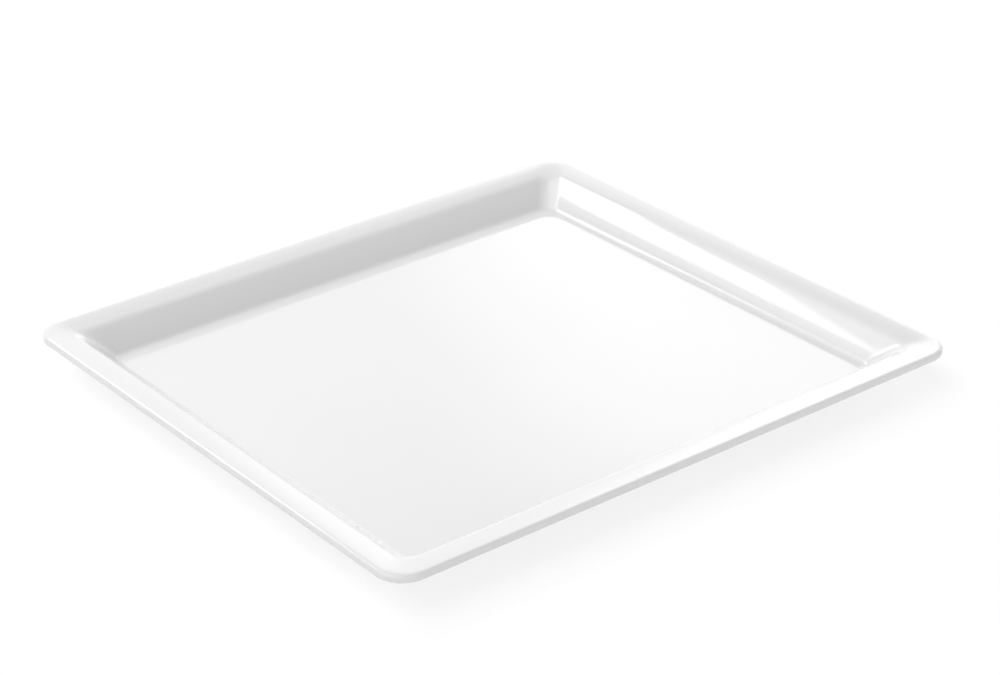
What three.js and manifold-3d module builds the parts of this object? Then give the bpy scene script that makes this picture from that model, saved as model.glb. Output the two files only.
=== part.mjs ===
// Gastronorm serving tray, size 2/3: a shallow one-piece moulding that stands on four non-slip feet.
// Millimetres, +Z up, +X along the longer side. The origin is on the counter, below the tray's centre.

import * as THREE from 'three';
import { mergeVertices } from 'three/addons/utils/BufferGeometryUtils.js';
import Module from 'manifold-3d';

const wasm = await Module();
wasm.setup();

const { degToRad, lerp, smoothstep } = THREE.MathUtils;

// Plan of the tray
const trayLength = 354;
const trayWidth = 325;
const outerCornerRadius = 15;
const innerCornerRadius = 9.5;

// Section of the moulding, from the outer edge in to the serving floor
const shellThickness = 4;
const upperEdgeRadius = 1.6;
const lowerEdgeRadius = 0.8;
const rimWidth = 13;
const rimEndSlope = degToRad(8.5);
const shoulderRadius = 9;
const shoulderEndSlope = degToRad(41);
const wallEndSlope = degToRad(50.5);
const floorFilletRadius = 4;
const wellDepth = 15;

// Feet, glued into round sockets in the underside
const footRadius = 6;
const footStand = 1;
const footEdgeRadius = 0.5;
const footMargin = 12;
const socketDepth = 1.2;
const footClearance = 0.3;

// Fineness of the facets
const bendSteps = 6;
const edgeSteps = 4;
const cornerDivisions = 5;
const roundSteps = 40;
const weldDistance = 1e-5;

// Heights above the counter
const baseHeight = footStand;
const floorHeight = baseHeight + shellThickness;
const rimHeight = floorHeight + wellDepth;

// The bends of the upper face. A negative radius is a hollow bend.
// The crown of the rim reaches its end slope over the rim's width. The fillet joins wall and floor.
const crownRadius = (rimWidth - upperEdgeRadius) / Math.sin(rimEndSlope);
const crown = { radius: crownRadius, from: 0, to: rimEndSlope };
const shoulder = { radius: shoulderRadius, from: rimEndSlope, to: shoulderEndSlope };
const floorFillet = { radius: -floorFilletRadius, from: wallEndSlope, to: 0 };

// The wall is bowed a little and takes up the depth that the other bends leave.
function bendDrop({ radius, from, to }) {
  return radius * (Math.cos(from) - Math.cos(to));
}
const wallDrop = wellDepth - bendDrop(crown) - bendDrop(shoulder) - bendDrop(floorFillet);
const wallRadius = wallDrop / (Math.cos(shoulderEndSlope) - Math.cos(wallEndSlope));
const wall = { radius: wallRadius, from: shoulderEndSlope, to: wallEndSlope };
const bends = [crown, shoulder, wall, floorFillet];

// Section points are (inset from the tray's outer edge, height above the counter).
// The upper face's normal where it slopes down towards the floor
function slopeNormal(slope) {
  return new THREE.Vector2(Math.sin(slope), Math.cos(slope));
}

// Points on one face of the moulding, the given depth below the upper face and parallel to it
function facePoints(depth) {
  const points = [];
  const joint = new THREE.Vector2(upperEdgeRadius, rimHeight);
  for (const { radius, from, to } of bends) {
    const centre = joint.clone().addScaledVector(slopeNormal(from), -radius);
    for (let step = points.length ? 1 : 0; step <= bendSteps; step += 1) {
      const normal = slopeNormal(lerp(from, to, step / bendSteps));
      points.push(centre.clone().addScaledVector(normal, radius - depth));
    }
    joint.copy(centre).addScaledVector(slopeNormal(to), radius);
  }
  return points;
}

// A quarter-round of the outer edge, swept clockwise from the start angle
function edgePoints(radius, centreHeight, startAngle) {
  const endAngle = startAngle - Math.PI / 2;
  const arc = new THREE.EllipseCurve(radius, centreHeight, radius, radius, startAngle, endAngle, true);
  return arc.getPoints(edgeSteps);
}

// The section from the flat base outwards, round the edge and back in to the serving floor
function sectionPoints() {
  const lowerFace = facePoints(shellThickness).reverse();
  const lowerEdge = edgePoints(lowerEdgeRadius, rimHeight - shellThickness + lowerEdgeRadius, -Math.PI / 2);
  const upperEdge = edgePoints(upperEdgeRadius, rimHeight - upperEdgeRadius, Math.PI);
  const upperFace = facePoints(0).slice(1);
  return [...lowerFace, ...lowerEdge, ...upperEdge, ...upperFace];
}

// One outline of the tray at a section point: a rectangle with rounded corners.
// The corner radius falls from the outer edge to the inner one over the rim's width.
function ringPoints(inset) {
  const radius = lerp(outerCornerRadius, innerCornerRadius, smoothstep(inset, 0, rimWidth));
  const x = trayLength / 2 - inset - radius;
  const y = trayWidth / 2 - inset - radius;
  const outline = new THREE.Path();
  outline.absarc(x, y, radius, 0, Math.PI / 2);
  outline.absarc(-x, y, radius, Math.PI / 2, Math.PI);
  outline.absarc(-x, -y, radius, Math.PI, Math.PI * 1.5);
  outline.absarc(x, -y, radius, Math.PI * 1.5, Math.PI * 2);
  return outline.getPoints(cornerDivisions);
}

// The section lofted round the tray's plan and closed by the flat base and the serving floor
function moulding() {
  const section = sectionPoints();
  const rings = section.map((point) => ringPoints(point.x));
  const count = rings[0].length;
  const positions = [];
  const index = [];
  rings.forEach((ring, row) => {
    ring.forEach((point) => positions.push(point.x, point.y, section[row].y));
  });
  for (let row = 0; row + 1 < rings.length; row += 1) {
    for (let column = 0; column < count; column += 1) {
      const here = row * count + column;
      const next = row * count + ((column + 1) % count);
      index.push(here, next, next + count);
      index.push(here, next + count, here + count);
    }
  }
  const floorStart = (rings.length - 1) * count;
  for (const [a, b, c] of THREE.ShapeUtils.triangulateShape(rings[0], [])) {
    index.push(a, c, b);
    index.push(floorStart + a, floorStart + b, floorStart + c);
  }
  const geometry = new THREE.BufferGeometry();
  geometry.setAttribute('position', new THREE.Float32BufferAttribute(positions, 3));
  geometry.setIndex(index);
  return geometry;
}

// The four foot places, at equal margins inside the flat base
function footPlaces() {
  const inset = facePoints(0).at(-1).x + footMargin;
  const x = trayLength / 2 - inset;
  const y = trayWidth / 2 - inset;
  return [
    { name: 'front_left', x: -x, y: -y },
    { name: 'front_right', x, y: -y },
    { name: 'back_left', x: -x, y },
    { name: 'back_right', x, y },
  ];
}

// A closed geometry as a solid that can be cut
function solidOf(geometry) {
  geometry.deleteAttribute('normal');
  geometry.deleteAttribute('uv');
  const welded = mergeVertices(geometry, weldDistance);
  const vertProperties = new Float32Array(welded.attributes.position.array);
  const triVerts = new Uint32Array(welded.index.array);
  return new wasm.Manifold(new wasm.Mesh({ numProp: 3, vertProperties, triVerts }));
}

// A cut solid as a geometry for a mesh
function geometryOf(solid) {
  const { vertProperties, triVerts } = solid.getMesh();
  const geometry = new THREE.BufferGeometry();
  geometry.setAttribute('position', new THREE.BufferAttribute(new Float32Array(vertProperties), 3));
  geometry.setIndex(new THREE.BufferAttribute(new Uint32Array(triVerts), 1));
  geometry.computeVertexNormals();
  return geometry;
}

// The cutter for one foot socket, reaching from the counter up into the base
function socketCutter({ x, y }) {
  const height = baseHeight + socketDepth;
  const radius = footRadius + footClearance;
  const cylinder = new THREE.CylinderGeometry(radius, radius, height, roundSteps);
  cylinder.rotateX(Math.PI / 2);
  cylinder.translate(x, y, height / 2);
  return solidOf(cylinder);
}

function trayShell() {
  const sockets = footPlaces().map(socketCutter);
  const shell = sockets.reduce((solid, socket) => solid.subtract(socket), solidOf(moulding()));
  const melamine = new THREE.MeshStandardMaterial({ color: 0xf1f1f0, roughness: 0.12, metalness: 0 });
  const mesh = new THREE.Mesh(geometryOf(shell), melamine);
  mesh.name = 'tray_shell';
  return mesh;
}

// A round silicone button with a softened lower edge, standing on the counter
function nonSlipFoot({ name, x, y }) {
  const top = baseHeight + socketDepth - footClearance;
  const treadRadius = footRadius - footEdgeRadius;
  const outline = new THREE.Path();
  outline.moveTo(0, 0);
  outline.lineTo(treadRadius, 0);
  outline.absarc(treadRadius, footEdgeRadius, footEdgeRadius, -Math.PI / 2, 0);
  outline.lineTo(footRadius, top);
  outline.lineTo(0, top);
  const button = new THREE.LatheGeometry(outline.getPoints(edgeSteps / 2), roundSteps);
  button.rotateX(Math.PI / 2);
  const silicone = new THREE.MeshStandardMaterial({ color: 0xc9c9c6, roughness: 0.7, metalness: 0 });
  const mesh = new THREE.Mesh(button, silicone);
  mesh.name = `non_slip_foot_${name}`;
  mesh.position.set(x, y, 0);
  return mesh;
}

const tray = new THREE.Group();
tray.name = 'gastronorm_tray';
tray.add(trayShell());
tray.add(...footPlaces().map(nonSlipFoot));

export default tray;
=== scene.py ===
import math

import bpy
import numpy as np
from mathutils import Euler, Matrix, Vector
from mathutils.geometry import delaunay_2d_cdt


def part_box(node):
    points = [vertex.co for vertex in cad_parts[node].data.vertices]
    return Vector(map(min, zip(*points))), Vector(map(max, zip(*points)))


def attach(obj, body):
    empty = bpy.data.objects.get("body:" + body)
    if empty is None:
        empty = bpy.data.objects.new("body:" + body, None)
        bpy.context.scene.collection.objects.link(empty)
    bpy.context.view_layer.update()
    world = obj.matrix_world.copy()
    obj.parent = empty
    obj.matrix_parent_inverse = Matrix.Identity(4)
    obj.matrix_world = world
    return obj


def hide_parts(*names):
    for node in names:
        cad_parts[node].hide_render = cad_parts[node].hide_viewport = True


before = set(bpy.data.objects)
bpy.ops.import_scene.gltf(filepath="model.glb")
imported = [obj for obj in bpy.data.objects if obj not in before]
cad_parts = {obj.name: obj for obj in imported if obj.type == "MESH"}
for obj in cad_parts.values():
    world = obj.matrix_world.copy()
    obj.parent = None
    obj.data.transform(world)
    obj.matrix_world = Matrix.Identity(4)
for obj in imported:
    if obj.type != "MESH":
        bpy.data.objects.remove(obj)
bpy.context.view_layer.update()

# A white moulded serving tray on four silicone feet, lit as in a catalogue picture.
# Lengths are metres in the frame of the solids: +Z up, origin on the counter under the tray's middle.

MM = 0.001

# Places taken from the solids
SHELL_LOW, SHELL_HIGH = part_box("tray_shell")
HALF_PLAN = np.array(SHELL_HIGH.xy)
BASE_HEIGHT = SHELL_LOW.z
RIM_HEIGHT = SHELL_HIGH.z
FOOT_NODES = sorted(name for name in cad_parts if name.startswith("non_slip_foot"))

# Section of the moulding, from the outer edge in to the serving floor
OUTER_CORNER = 15.0 * MM
INNER_CORNER = 9.5 * MM
THICKNESS = 4.0 * MM
UPPER_EDGE = 1.6 * MM
LOWER_EDGE = 0.8 * MM
RIM_WIDTH = 13.0 * MM
RIM_ROUND = 1.5 * MM
RIM_START_SLOPE = math.radians(4)
RIM_END_SLOPE = math.radians(8.5)
SHOULDER_RADIUS = 9.0 * MM
SHOULDER_END_SLOPE = math.radians(41)
WALL_END_SLOPE = math.radians(50.5)
FLOOR_FILLET = 4.0 * MM
WELL_DEPTH = RIM_HEIGHT - BASE_HEIGHT - THICKNESS

# Feet and their sockets
FOOT_EDGE = 0.5 * MM
FOOT_CLEARANCE = 0.3 * MM

# Fineness of the surfaces
BEND_STEPS = 14
EDGE_STEPS = 8
CORNER_STEPS = 28
ROUND_STEPS = 72
FLAT_SHARES = np.array([0.004, 0.03, 0.15, 0.45, 1.0])
SIDE_SHARES = np.array([0.003, 0.02, 0.1, 0.3, 0.5, 0.7, 0.9, 0.98, 0.997])
SHELL_CREASE = math.radians(50)
FOOT_CREASE = math.radians(40)
WELD_DISTANCE = 1e-9

# Finishes: linear colours, roughness and the height of the relief
MELAMINE_WHITES = ((0.845, 0.845, 0.842, 1), (0.868, 0.868, 0.866, 1))
GLOSS_ROUGHNESS = 0.05
RUB_ROUGHNESS = 0.04
MATT_ROUGHNESS = 0.42
MELAMINE_RELIEF = 0.02 * MM
PEEL_SHARE = 0.15
SILICONE_GREYS = ((0.52, 0.52, 0.51, 1), (0.60, 0.60, 0.59, 1))
SILICONE_ROUGHNESS = 0.55
SILICONE_WEAR_ROUGHNESS = 0.2
SILICONE_RELIEF = 0.03 * MM
PAPER_WHITE = (0.9, 0.9, 0.9, 1)

# Noise in the finishes: marks per metre and detail
MELAMINE_CLOUDS = (9.0, 3.0)
MELAMINE_GRAIN = (1400.0, 2.0)
MELAMINE_PEEL = (160.0, 2.0)
RUBS_PER_METRE = (14, 420, 60)
RUB_TURN = (0, 0, 0.6)
RUB_DETAIL = 2.0
SILICONE_CLOUDS = (240.0, 3.0)
SILICONE_WEAR = (900.0, 2.0)
SILICONE_GRAIN = (2200.0, 2.0)

# Camera, measured from the middle of the rim: where it stands in its own axes, and its lens
CAMERA_AZIMUTH = math.radians(37.464)
CAMERA_ELEVATION = math.radians(27.054)
CAMERA_ROLL = math.radians(-1.282)
CAMERA_STAND = Vector((6.582, 0.077, 1396.753)) * MM
SENSOR_WIDTH_MM = 36.0
LENS_MM = 96.92

# Light: radiances, where 1 shows as white, directions in degrees and lengths in metres
WALLS = {"left": 0.0, "right": 0.75, "front": 0.95, "back": 1.5}
CEILING = {"left": 2.28, "right": 0.0, "front": 0.82, "back": 0.34}
WALL_TOP = (29, 37)
GLOW = 1.05
GLOW_FROM = (43, 23)
GLOW_REACH = (12, 6)
SOFTBOX = 3.2
SOFTBOX_PLACE = Vector((-0.263, 1.464, 1.22))
SOFTBOX_SIZE = (1.6, 0.642)
SOFTBOX_TURN = Euler((math.radians(-4.8), math.radians(17.2), math.radians(-8.6)))

# Floor
FLOOR_REACH = 6.0
FLOOR_WHITE = 1.1
FLOOR_WHITE_SHARE = 0.7


# Shapes


def arc(start, stop, steps):
    """Evenly spaced angles from start to stop, both included."""
    return np.linspace(start, stop, steps + 1)


def slope_normal(slope):
    """Normal of the upper face in the section, (sin, cos) of its slope down towards the floor."""
    return np.stack([np.sin(slope), np.cos(slope)], axis=-1)


def bend_table():
    """(radius, first slope, last slope) of each bend of the upper face; a negative radius is hollow.

    The rim bends quickly at first and slowly over the rest of its width. The wall takes up the depth
    that is left.
    """
    rim_start = RIM_ROUND / math.sin(RIM_START_SLOPE)
    rim_width = RIM_WIDTH - UPPER_EDGE - RIM_ROUND
    rim = rim_width / (math.sin(RIM_END_SLOPE) - math.sin(RIM_START_SLOPE))
    bends = [
        (rim_start, 0.0, RIM_START_SLOPE),
        (rim, RIM_START_SLOPE, RIM_END_SLOPE),
        (SHOULDER_RADIUS, RIM_END_SLOPE, SHOULDER_END_SLOPE),
        (-FLOOR_FILLET, WALL_END_SLOPE, 0.0),
    ]
    drop = sum(radius * (math.cos(first) - math.cos(last)) for radius, first, last in bends)
    wall = (WELL_DEPTH - drop) / (math.cos(SHOULDER_END_SLOPE) - math.cos(WALL_END_SLOPE))
    return bends[:-1] + [(wall, SHOULDER_END_SLOPE, WALL_END_SLOPE)] + bends[-1:]


def face_section(depth):
    """(inset, height) points of a face that lies the given depth below the upper one.

    On each bend they are the centre plus (radius - depth) times the normal at each slope.
    """
    joint = np.array([UPPER_EDGE, RIM_HEIGHT])
    runs = []
    for radius, first, last in bend_table():
        centre = joint - radius * slope_normal(first)
        runs.append(centre + (radius - depth) * slope_normal(arc(first, last, BEND_STEPS)))
        joint = centre + radius * slope_normal(last)
    return np.concatenate([runs[0]] + [run[1:] for run in runs[1:]])


def edge_section(radius, centre_height, start):
    """Quarter circle of the outer edge, swept clockwise in the section from the start angle."""
    angle = arc(start, start - math.pi / 2, EDGE_STEPS)
    return np.stack([radius * (1 + np.cos(angle)), centre_height + radius * np.sin(angle)], axis=-1)


def flat_run(inset, height, last):
    """Rows across a flat from an inset to the last one, close together at first to hold the normals."""
    return np.stack([inset + FLAT_SHARES * (last - inset), np.full(FLAT_SHARES.size, height)], axis=-1)


def shell_section():
    """Closed section from the base outwards, round the edge and in over the serving floor."""
    lower = face_section(THICKNESS)[::-1]
    upper = face_section(0.0)
    floor_inset = upper[-1, 0]
    base = flat_run(floor_inset, BASE_HEIGHT, floor_inset + FOOT_CLEARANCE)[::-1]
    lower_edge = edge_section(LOWER_EDGE, RIM_HEIGHT - THICKNESS + LOWER_EDGE, -math.pi / 2)
    upper_edge = edge_section(UPPER_EDGE, RIM_HEIGHT - UPPER_EDGE, math.pi)
    middle_inset = HALF_PLAN.min() - 2 * INNER_CORNER
    floor = flat_run(floor_inset, upper[-1, 1], middle_inset)
    return np.concatenate([base, lower, lower_edge, upper_edge, upper[1:], floor])


def plan_rings(inset):
    """Outline of the tray at each inset, anticlockwise: four corner arcs joined by straight sides.

    The corner radius falls smoothly from the outer to the inner one over the rim's width.
    A corner point is the arc's centre plus the radius times (cos, sin) of its angle; a side's points
    are shares of the way from one corner's last point to the next corner's first.
    """
    share = np.clip(inset / RIM_WIDTH, 0, 1)
    blend = share * share * (3 - 2 * share)
    radius = (OUTER_CORNER + (INNER_CORNER - OUTER_CORNER) * blend)[:, None, None, None]
    quarter = np.arange(4) * math.pi / 2
    sign = np.sign(np.stack([np.cos(quarter + math.pi / 4), np.sin(quarter + math.pi / 4)], axis=-1))
    centre = sign[None, :, None, :] * (HALF_PLAN - inset[:, None, None, None] - radius)
    angle = quarter[:, None] + arc(0, math.pi / 2, CORNER_STEPS)
    corner = centre + radius * np.stack([np.cos(angle), np.sin(angle)], axis=-1)
    start = corner[:, :, -1:, :]
    stop = np.roll(corner, -1, axis=1)[:, :, :1, :]
    side = start + SIDE_SHARES[:, None] * (stop - start)
    return np.concatenate([corner, side], axis=2).reshape(len(inset), -1, 2)


def ring_quads(rows, columns, first=0):
    """Quads between the rows of a grid whose columns close on themselves."""
    here = first + np.arange(rows - 1)[:, None] * columns + np.arange(columns)
    beside = first + np.arange(rows - 1)[:, None] * columns + (np.arange(columns) + 1) % columns
    return np.stack([here, beside, beside + columns, here + columns], axis=-1).reshape(-1, 4)


def circle(middle, radius):
    """Points of a circle in plan, anticlockwise."""
    angle = np.arange(ROUND_STEPS) * 2 * math.pi / ROUND_STEPS
    return middle + radius * np.stack([np.cos(angle), np.sin(angle)], axis=-1)


def stacked(rings, heights):
    """Points of rings in plan, each ring at its own height."""
    levels = np.broadcast_to(heights[:, None, None], rings.shape[:2] + (1,))
    return np.concatenate([rings, levels], axis=-1).reshape(-1, 3)


def loop_edges(first, count):
    """Edges of a closed loop of consecutive points."""
    here = first + np.arange(count)
    return np.stack([here, np.roll(here, -1)], axis=-1)


def add_object(name, data):
    """A new object in the scene."""
    made = bpy.data.objects.new(name, data)
    bpy.context.scene.collection.objects.link(made)
    return made


def new_piece(name, points, faces, material, node, crease):
    """A mesh object at the origin that stands for a node of the solids and rides with the tray.

    It is smooth, but for edges whose faces meet at more than the crease angle.
    """
    mesh = bpy.data.meshes.new(name)
    mesh.from_pydata(points.tolist(), [], faces)
    mesh.polygons.foreach_set("use_smooth", np.ones(len(mesh.polygons), dtype=bool))
    mesh.set_sharp_from_angle(angle=crease)
    mesh.materials.append(material)
    mesh.update()
    piece = add_object(name, mesh)
    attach(piece, "root")
    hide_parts(node)
    return piece


def foot_place(node):
    """Middle in plan, radius and height of a foot."""
    low, high = (np.array(corner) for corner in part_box(node))
    return (low + high)[:2] / 2, (high - low)[0] / 2, high[2]


def tray_shell(material):
    """The moulding: the section carried round the plan, a base with sockets, and the floor's middle."""
    section = shell_section()
    plan = plan_rings(section[:, 0])
    rows, columns = plan.shape[:2]
    points = [stacked(plan, section[:, 1])]
    faces = ring_quads(rows, columns).tolist()
    faces.append(((rows - 1) * columns + np.arange(columns)).tolist())
    loops = [np.arange(columns)]
    count = rows * columns
    for node in FOOT_NODES:
        middle, radius, top = foot_place(node)
        mouth = circle(middle, radius + FOOT_CLEARANCE)
        points.append(stacked(np.stack([mouth, mouth]), np.array([BASE_HEIGHT, top + FOOT_CLEARANCE])))
        faces += ring_quads(2, ROUND_STEPS, count)[:, ::-1].tolist()
        faces.append((count + ROUND_STEPS + np.arange(ROUND_STEPS))[::-1].tolist())
        loops.append(count + np.arange(ROUND_STEPS))
        count += 2 * ROUND_STEPS
    points = np.concatenate(points)
    faces += base_faces(points, loops)
    shell = new_piece("moulded_shell", points, faces, material, "tray_shell", SHELL_CREASE)
    underside = np.zeros(len(points), dtype=np.float32)
    lower_rows = FLAT_SHARES.size + len(bend_table()) * BEND_STEPS
    underside[: lower_rows * columns] = 1.0
    underside[rows * columns:] = 1.0
    shell.data.attributes.new("underside", "FLOAT", "POINT").data.foreach_set("value", underside)
    return shell


def base_faces(points, loops):
    """Faces of the flat base, facing down, between its outline and the sockets' mouths."""
    order = np.concatenate(loops)
    starts = np.cumsum([0] + [len(loop) for loop in loops[:-1]])
    edges = np.concatenate([loop_edges(start, len(loop)) for start, loop in zip(starts, loops)])
    plan = [Vector(point) for point in points[order, :2].tolist()]
    valid_faces_without_holes = 5
    result = delaunay_2d_cdt(plan, edges.tolist(), [], valid_faces_without_holes, WELD_DISTANCE)
    sources = result[3]
    return [[int(order[sources[corner][0]]) for corner in face][::-1] for face in result[2]]


def silicone_foot(node, material):
    """A round button: a profile of (radius, height) carried round the foot's axis."""
    middle, radius, top = foot_place(node)
    angle = arc(-math.pi / 2, 0, EDGE_STEPS)
    edge = FOOT_EDGE * np.stack([np.cos(angle), 1 + np.sin(angle)], axis=-1) + [radius - FOOT_EDGE, 0]
    profile = np.concatenate([edge, [[radius, top]]])
    rings = np.stack([circle(middle, size) for size in profile[:, 0]])
    points = stacked(rings, profile[:, 1])
    faces = ring_quads(len(profile), ROUND_STEPS).tolist()
    faces.append(np.arange(ROUND_STEPS)[::-1].tolist())
    faces.append(((len(profile) - 1) * ROUND_STEPS + np.arange(ROUND_STEPS)).tolist())
    return new_piece(node + "_button", points, faces, material, node, FOOT_CREASE)


# Materials


class Socket:
    """An output socket that takes part in Python sums; each operation adds a Math node."""

    def __init__(self, graph, output):
        self.graph = graph
        self.output = output

    def _math(self, operation, first, second):
        return self.graph.node("ShaderNodeMath", {"operation": operation}, {0: first, 1: second})

    def __add__(self, other):
        return self._math("ADD", self, other)

    __radd__ = __add__

    def __mul__(self, other):
        return self._math("MULTIPLY", self, other)

    __rmul__ = __mul__

    def __sub__(self, other):
        return self._math("SUBTRACT", self, other)

    def __rsub__(self, other):
        return self._math("SUBTRACT", other, self)

    def __truediv__(self, other):
        return self._math("DIVIDE", self, other)

    def __gt__(self, other):
        return self._math("GREATER_THAN", self, other)


class Graph:
    """A node tree that is filled one node at a time."""

    def __init__(self, tree):
        self.tree = tree
        tree.nodes.clear()

    def node(self, kind, settings, values, output=0):
        """Adds a node: first its settings, then the values or links of its sockets."""
        made = self.tree.nodes.new(kind)
        for key, value in settings.items():
            setattr(made, key, value)
        for key, value in values.items():
            if isinstance(value, Socket):
                self.tree.links.new(value.output, made.inputs[key])
            else:
                made.inputs[key].default_value = value
        return Socket(self, made.outputs[output])

    def place(self):
        """Object coordinates of the shaded point."""
        return self.node("ShaderNodeTexCoord", {}, {}, "Object")

    def noise(self, scale, detail):
        """Noise from 0 to 1 over the object's own coordinates."""
        values = {"Vector": self.place(), "Scale": scale, "Detail": detail}
        return self.node("ShaderNodeTexNoise", {}, values, "Fac")

    def finish(self, kind, shader):
        """Adds the output node of a material or a world."""
        made = self.tree.nodes.new(kind)
        self.tree.links.new(shader.output, made.inputs["Surface"])

    def blend(self, share, first, second):
        """Mix of two colours."""
        sockets = {"Factor": share, 6: first, 7: second}
        return self.node("ShaderNodeMix", {"data_type": "RGBA"}, sockets, 2)


def new_material(name):
    """An empty node material and its graph."""
    material = bpy.data.materials.new(name)
    material.use_nodes = True
    return material, Graph(material.node_tree)


def finish_plastic(graph, colour, roughness, relief, *, refraction, height, strength):
    """Ends a material with a plastic surface and a fine relief of the given height and strength."""
    raised = {"Strength": strength, "Distance": height, "Height": relief}
    bump = graph.node("ShaderNodeBump", {}, raised)
    values = {"Base Color": colour, "Roughness": roughness, "IOR": refraction, "Normal": bump}
    graph.finish("ShaderNodeOutputMaterial", graph.node("ShaderNodeBsdfPrincipled", {}, values))


def melamine():
    """Polished white melamine: gloss above, matt and grained below, with faint clouds and rub marks."""
    material, graph = new_material("white_melamine")
    underside = graph.node("ShaderNodeAttribute", {"attribute_name": "underside"}, {}, "Fac")
    colour = graph.blend(graph.noise(*MELAMINE_CLOUDS), *MELAMINE_WHITES)
    stretch = {"Vector": graph.place(), "Rotation": RUB_TURN, "Scale": RUBS_PER_METRE}
    along = {"Vector": graph.node("ShaderNodeMapping", {}, stretch), "Scale": 1.0, "Detail": RUB_DETAIL}
    rubs = graph.node("ShaderNodeTexNoise", {}, along, "Fac")
    gloss = GLOSS_ROUGHNESS + RUB_ROUGHNESS * rubs
    roughness = gloss + underside * (MATT_ROUGHNESS - gloss)
    peel = graph.noise(*MELAMINE_PEEL) * PEEL_SHARE
    relief = underside * graph.noise(*MELAMINE_GRAIN) + (1 - underside) * peel
    finish_plastic(graph, colour, roughness, relief, refraction=1.5, height=MELAMINE_RELIEF, strength=0.2)
    return material


def silicone():
    """Soft matt silicone, a little cloudy, with a fine rubbed grain."""
    material, graph = new_material("clear_grey_silicone")
    colour = graph.blend(graph.noise(*SILICONE_CLOUDS), *SILICONE_GREYS)
    roughness = SILICONE_ROUGHNESS + SILICONE_WEAR_ROUGHNESS * graph.noise(*SILICONE_WEAR)
    grain = graph.noise(*SILICONE_GRAIN)
    finish_plastic(graph, colour, roughness, grain, refraction=1.41, height=SILICONE_RELIEF, strength=0.3)
    return material


# Stage, light and camera


def white_share(graph):
    """1 on rays that show the background itself: camera, mirror and see-through rays."""
    ray = graph.tree.nodes.new("ShaderNodeLightPath").outputs
    seen = Socket(graph, ray["Is Camera Ray"]) + Socket(graph, ray["Is Glossy Ray"])
    return graph.node("ShaderNodeClamp", {}, {0: seen + Socket(graph, ray["Is Transmission Ray"])})


def paper_floor():
    """White paper under the tray: it shows mostly as plain white and keeps a pale shadow."""
    material, graph = new_material("white_paper")
    paper = graph.node("ShaderNodeBsdfDiffuse", {}, {"Color": PAPER_WHITE})
    white = graph.node("ShaderNodeEmission", {}, {"Color": (1, 1, 1, 1), "Strength": FLOOR_WHITE})
    share = white_share(graph) * FLOOR_WHITE_SHARE
    mixed = graph.node("ShaderNodeMixShader", {}, {0: share, 1: paper, 2: white})
    graph.finish("ShaderNodeOutputMaterial", mixed)
    mesh = bpy.data.meshes.new("paper_floor")
    corners = np.array([[-1, -1, 0], [1, -1, 0], [1, 1, 0], [-1, 1, 0]]) * FLOOR_REACH
    mesh.from_pydata(corners.tolist(), [], [[0, 1, 2, 3]])
    mesh.materials.append(material)
    add_object("paper_floor", mesh)


def smooth_step(graph, value, start, stop):
    """0 below start, 1 above stop and a soft step between them."""
    limits = {"Value": value, "From Min": start, "From Max": stop}
    return graph.node("ShaderNodeMapRange", {"interpolation_type": "SMOOTHSTEP"}, limits)


def direction(azimuth, elevation):
    """Unit vector towards a direction given in degrees from +X and from the horizon."""
    turn, rise = math.radians(azimuth), math.radians(elevation)
    return Vector((math.cos(turn) * math.cos(rise), math.sin(turn) * math.cos(rise), math.sin(rise)))


def round_about(x, y, sides):
    """Brightness in a direction, mixed from that of the four sides of the studio.

    Each side counts by the square of the direction's part towards it.
    """
    across = sides["left"] + (x > 0) * (sides["right"] - sides["left"])
    along = sides["front"] + (y > 0) * (sides["back"] - sides["front"])
    return (across * x * x + along * y * y) / (x * x + y * y)


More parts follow.
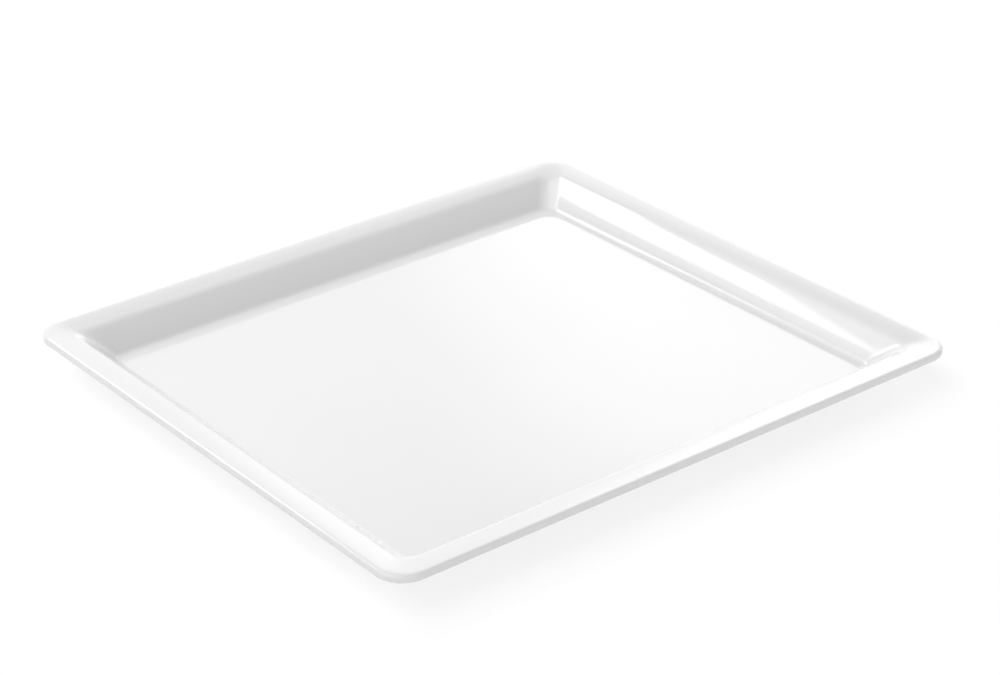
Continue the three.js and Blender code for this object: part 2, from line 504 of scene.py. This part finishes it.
def studio_world():
    """Four walls and a ceiling, each side with its own brightness, and a soft glow behind on the right.

    The sides are those that the camera sees: left, right, front by the camera, and back. The ceiling
    takes over from the walls between two elevations, and the glow fades out between two angles from
    its middle.
    """
    world = bpy.data.worlds.new("studio")
    world.use_nodes = True
    graph = Graph(world.node_tree)
    outwards = graph.node("ShaderNodeTexCoord", {}, {}, "Generated")
    from_camera = {"Vector": outwards, "Angle": CAMERA_AZIMUTH}
    turned = graph.node("ShaderNodeVectorRotate", {"rotation_type": "Z_AXIS"}, from_camera)
    x, y, z = (graph.node("ShaderNodeSeparateXYZ", {}, {0: turned}, axis) for axis in "XYZ")
    walls = round_about(x, y, WALLS)
    ceiling = round_about(x, y, CEILING)
    overhead = smooth_step(graph, z, *(math.sin(math.radians(angle)) for angle in WALL_TOP))
    towards_glow = {0: outwards, 1: direction(*GLOW_FROM)}
    nearness = graph.node("ShaderNodeVectorMath", {"operation": "DOT_PRODUCT"}, towards_glow, "Value")
    glow_reach = [math.cos(math.radians(angle)) for angle in GLOW_REACH]
    glow = smooth_step(graph, nearness, *glow_reach)
    light = walls + overhead * (ceiling - walls) + glow * GLOW
    seen = graph.node("ShaderNodeLightPath", {}, {}, "Is Camera Ray")
    backdrop = {"Color": (1, 1, 1, 1), "Strength": light + seen * (1 - light)}
    graph.finish("ShaderNodeOutputWorld", graph.node("ShaderNodeBackground", {}, backdrop))
    bpy.context.scene.world = world


def softbox():
    """A flat rectangular lamp behind the tray, which shows as a bar in the far right wall."""
    width, depth = SOFTBOX_SIZE
    lamp = bpy.data.lights.new("softbox", "AREA")
    lamp.shape = "RECTANGLE"
    lamp.size = width
    lamp.size_y = depth
    lamp.energy = SOFTBOX * math.pi * width * depth
    placed = add_object("softbox", lamp)
    placed.matrix_world = Matrix.Translation(SOFTBOX_PLACE) @ SOFTBOX_TURN.to_matrix().to_4x4()


def camera():
    """The photograph's viewpoint: turned about +Z, tipped down, rolled a little, then stood back."""
    turn = Matrix.Rotation(-CAMERA_AZIMUTH, 4, "Z")
    tip = Matrix.Rotation(math.pi / 2 - CAMERA_ELEVATION, 4, "X")
    axes = turn @ tip @ Matrix.Rotation(CAMERA_ROLL, 4, "Z")
    lens = bpy.data.cameras.new("camera")
    lens.sensor_fit = "HORIZONTAL"
    lens.sensor_width = SENSOR_WIDTH_MM
    lens.lens = LENS_MM
    placed = add_object("camera", lens)
    eye = Vector((0, 0, RIM_HEIGHT)) + axes.to_3x3() @ CAMERA_STAND
    placed.matrix_world = Matrix.Translation(eye) @ axes
    bpy.context.scene.camera = placed


tray_shell(melamine())
rubber = silicone()
for foot_node in FOOT_NODES:
    silicone_foot(foot_node, rubber)
paper_floor()
studio_world()
softbox()
camera()
bpy.context.scene.view_settings.view_transform = "Standard"
